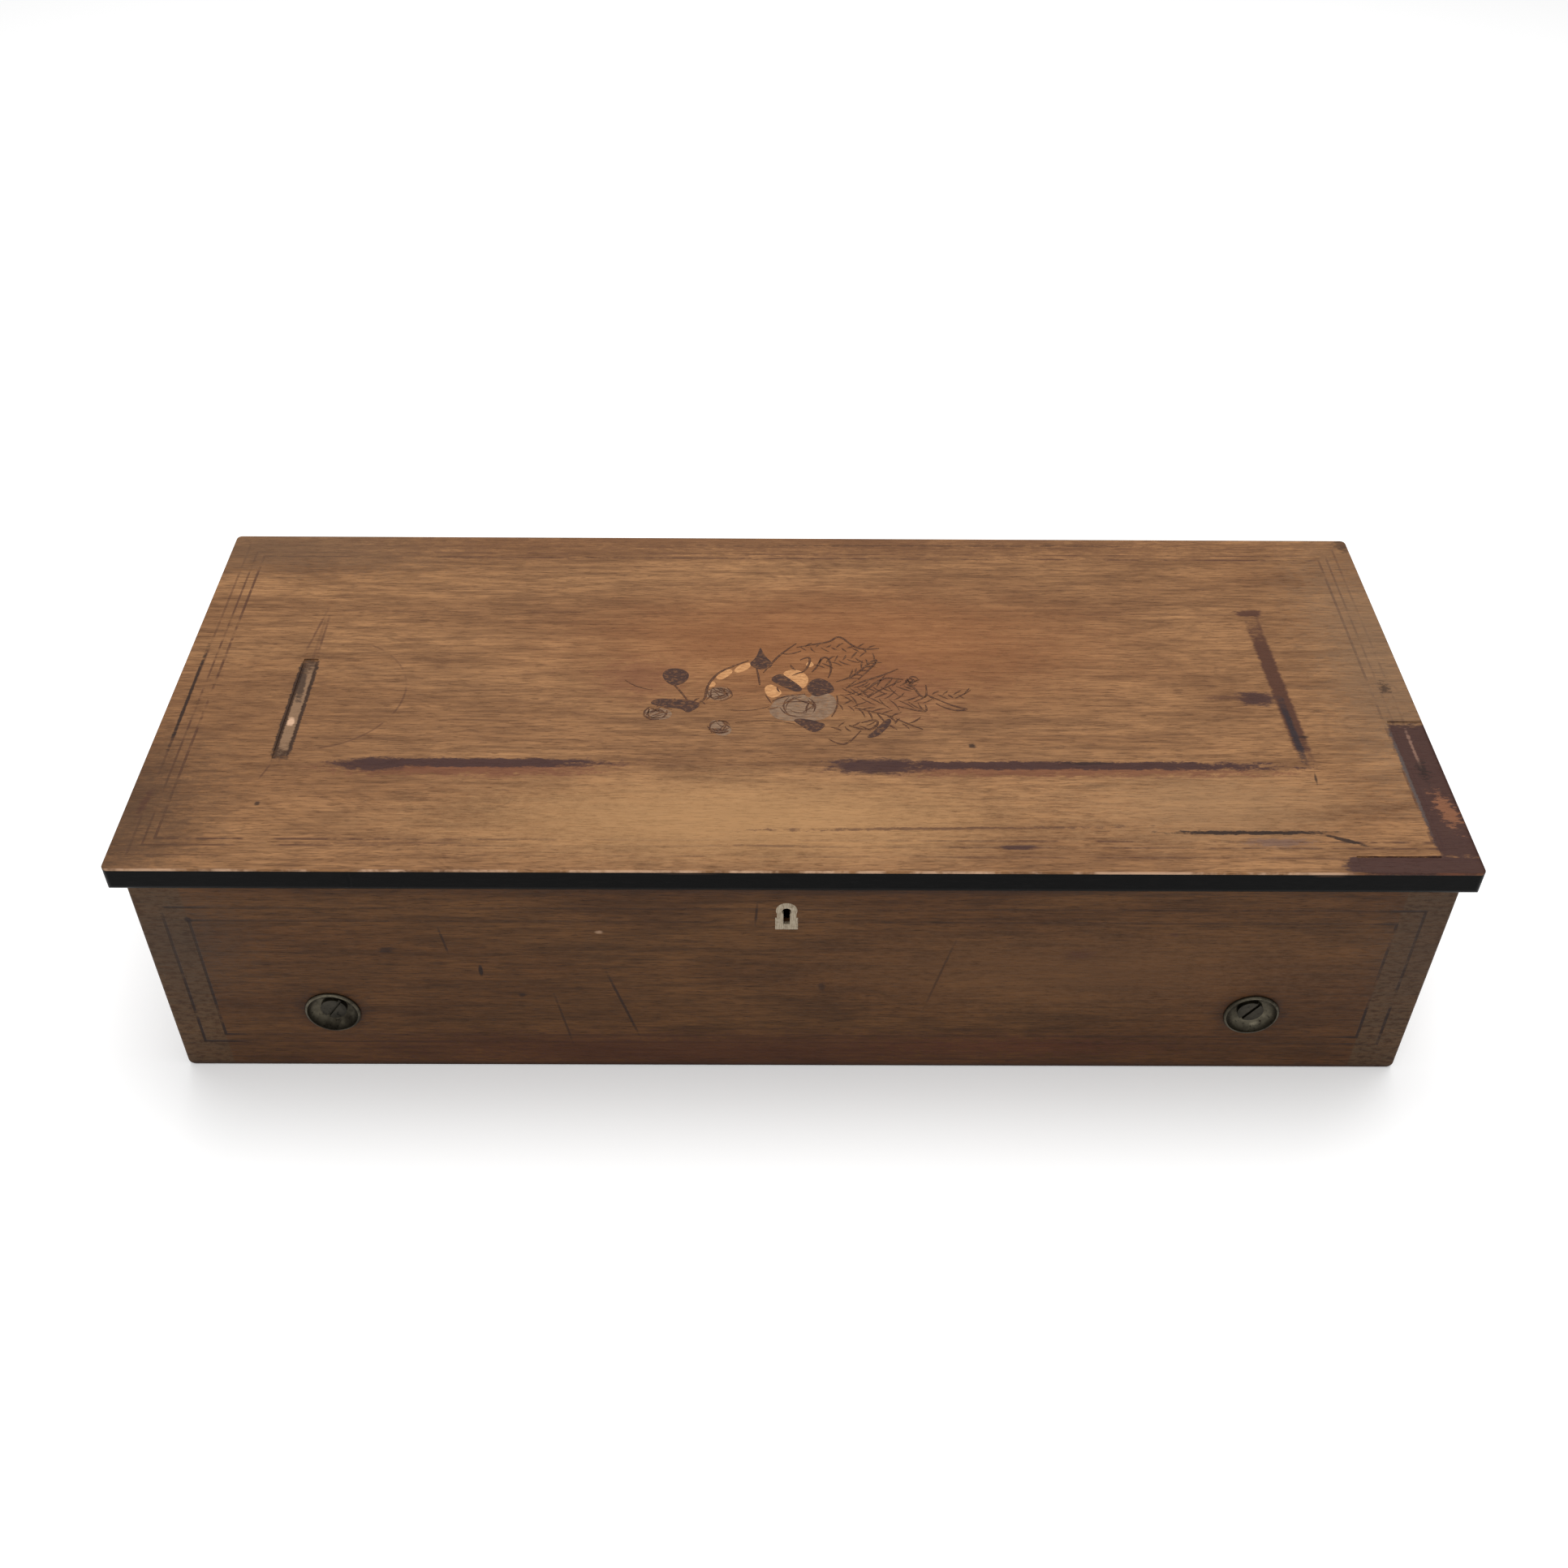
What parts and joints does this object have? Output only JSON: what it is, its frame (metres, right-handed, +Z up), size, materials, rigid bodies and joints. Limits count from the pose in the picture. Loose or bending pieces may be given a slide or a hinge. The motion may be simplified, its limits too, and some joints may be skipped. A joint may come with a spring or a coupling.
{
  "type": "music box",
  "caption": "Long low wooden cylinder music box with a hinged moulded lid, glazed inner lid, pinned cylinder, steel comb, spring barrel and governor",
  "frame": {"origin": "middle of the overall box's footprint, on the surface that the box stands on", "axes": "+X to the right along the front, +Y to the back where the lid hinges, +Z up"},
  "size_m": [0.53, 0.23, 0.1242],
  "materials": {
    "lid_veneer": "waxed straight-grained veneer, faded",
    "case_veneer": "stained and worn straight-grained wood",
    "ebonised_wood": "ebonised, satin",
    "inner_wood": "plain oiled softwood",
    "iron_bed": "bronzed cast iron",
    "brass": "lacquered brass",
    "aged_brass": "dark tarnished brass",
    "blued_steel": "blued and polished steel",
    "steel": "polished hardened steel",
    "lead": "dull lead",
    "bone": "aged bone",
    "dark_wood": "turned ebonised wood",
    "pane": "clear thin glass",
    "paper": "aged plain paper card"
  },
  "bodies": {
    "case": {"front_board": "case_veneer", "back_board": "case_veneer", "left_end_board": "case_veneer", "right_end_board": "case_veneer", "bottom_board": "inner_wood", "left_partition": "inner_wood", "right_partition": "inner_wood", "bearer_blocks": "inner_wood", "glass_ledge": "inner_wood", "glass_rail": "inner_wood", "bedplate": "iron_bed", "cup_washers": "aged_brass", "bed_screws": "blued_steel", "escutcheon": "bone", "lock_case": "blued_steel", "hinge_lower_leaves": "brass", "hinge_pins": "blued_steel", "hinge_case_screws": "blued_steel", "left_bridge": "brass", "middle_bridge": "brass", "right_bridge": "brass", "movement_screws": "blued_steel", "comb": "steel", "comb_base": "iron_bed", "comb_screws": "blued_steel", "comb_leads": "lead", "governor_front_plate": "brass", "governor_back_plate": "brass", "governor_cock": "brass", "control_bracket": "brass"},
    "lid": {"lid_board": "lid_veneer", "lid_moulding": "ebonised_wood", "lid_link_plate": "brass", "hinge_upper_leaves": "brass", "hinge_lid_screws": "blued_steel", "tune_sheet": "paper"},
    "glass_lid": {"glass_frame": "inner_wood", "glass_pane": "pane", "glass_pivots": "blued_steel", "glass_knob": "brass"},
    "lock_bolt": {"lock_bolt": "blued_steel"},
    "winding_lever": {"winding_lever": "steel", "winding_click": "steel", "winding_grip": "dark_wood"},
    "winding_arbor": {"winding_arbor": "steel", "ratchet_wheel": "steel"},
    "barrel": {"barrel": "brass", "barrel_cap": "brass", "mainspring": "blued_steel"},
    "cylinder_arbor": {"cylinder_arbor": "steel", "great_wheel": "brass"},
    "cylinder": {"cylinder": "brass", "cylinder_caps": "brass", "cylinder_pins": "steel"},
    "tune_snail": {"tune_snail": "brass"},
    "first_governor_wheel": {"first_governor_wheel": "brass"},
    "second_governor_wheel": {"second_governor_wheel": "brass"},
    "endless_screw": {"endless_screw": "steel"},
    "stop_lever": {"stop_lever": "steel"},
    "change_lever": {"change_lever": "steel"}
  },
  "joints": [
    {"name": "lid_hinge", "type": "hinge", "parent": "case", "child": "lid", "pos_m": [0, 0.112, 0.1121], "axis": [-1, 0, 0], "range_deg": [0, 100]},
    {"name": "glass_lid_hinge", "type": "hinge", "parent": "case", "child": "glass_lid", "pos_m": [0, 0.0885, 0.104], "axis": [-1, 0, 0], "range_deg": [0, 80]},
    {"name": "lock_bolt_slide", "type": "slide", "parent": "case", "child": "lock_bolt", "axis": [1, 0, 0], "range_m": [0, 0.005]},
    {"name": "winding_stroke", "type": "hinge", "parent": "case", "child": "winding_lever", "pos_m": [-0.2175, 0.0381, 0.0692], "axis": [-1, 0, 0], "range_deg": [0, 58]},
    {"name": "winding_arbor_turn", "type": "hinge", "parent": "case", "child": "winding_arbor", "pos_m": [0, 0.0381, 0.0692], "axis": [-1, 0, 0], "range_deg": [0, 58]},
    {"name": "cylinder_turn", "type": "hinge", "parent": "case", "child": "cylinder_arbor", "pos_m": [0, 0.006, 0.0692], "axis": [1, 0, 0], "continuous": true},
    {"name": "barrel_turn", "type": "hinge", "parent": "case", "child": "barrel", "pos_m": [0, 0.0381, 0.0692], "axis": [1, 0, 0], "continuous": true},
    {"name": "snail_turn", "type": "hinge", "parent": "cylinder_arbor", "child": "tune_snail", "pos_m": [0.1185, 0.006, 0.0692], "axis": [1, 0, 0], "range_deg": [0, 315]},
    {"name": "cylinder_shift", "type": "slide", "parent": "cylinder_arbor", "child": "cylinder", "axis": [-1, 0, 0], "range_m": [0, 0.0028]},
    {"name": "first_governor_turn", "type": "hinge", "parent": "case", "child": "first_governor_wheel", "pos_m": [0, 0.03425, 0.06003], "axis": [1, 0, 0], "continuous": true},
    {"name": "second_governor_turn", "type": "hinge", "parent": "case", "child": "second_governor_wheel", "pos_m": [0, 0.05391, 0.0692], "axis": [1, 0, 0], "continuous": true},
    {"name": "fly_turn", "type": "hinge", "parent": "case", "child": "endless_screw", "pos_m": [0.1545, 0.06781, 0], "axis": [0, 0, 1], "continuous": true},
    {"name": "stop_lever_turn", "type": "hinge", "parent": "case", "child": "stop_lever", "pos_m": [0.219, 0.08181, 0.0804], "axis": [1, 0, 0], "range_deg": [0, 20]},
    {"name": "change_lever_turn", "type": "hinge", "parent": "case", "child": "change_lever", "pos_m": [0.219, 0.04025, 0.0884], "axis": [1, 0, 0], "range_deg": [0, 12]}
  ],
  "couplings": [
    {"joint": "glass_lid_hinge", "follows": "lid_hinge", "ratio": 0.8},
    {"joint": "winding_arbor_turn", "follows": "winding_stroke", "ratio": 1},
    {"joint": "barrel_turn", "follows": "cylinder_turn", "ratio": -0.29032},
    {"joint": "snail_turn", "follows": "cylinder_shift", "rad_per_m": 1963.5},
    {"joint": "first_governor_turn", "follows": "cylinder_turn", "ratio": -4.2857},
    {"joint": "second_governor_turn", "follows": "cylinder_turn", "ratio": 15},
    {"joint": "fly_turn", "follows": "cylinder_turn", "ratio": -420}
  ]
}
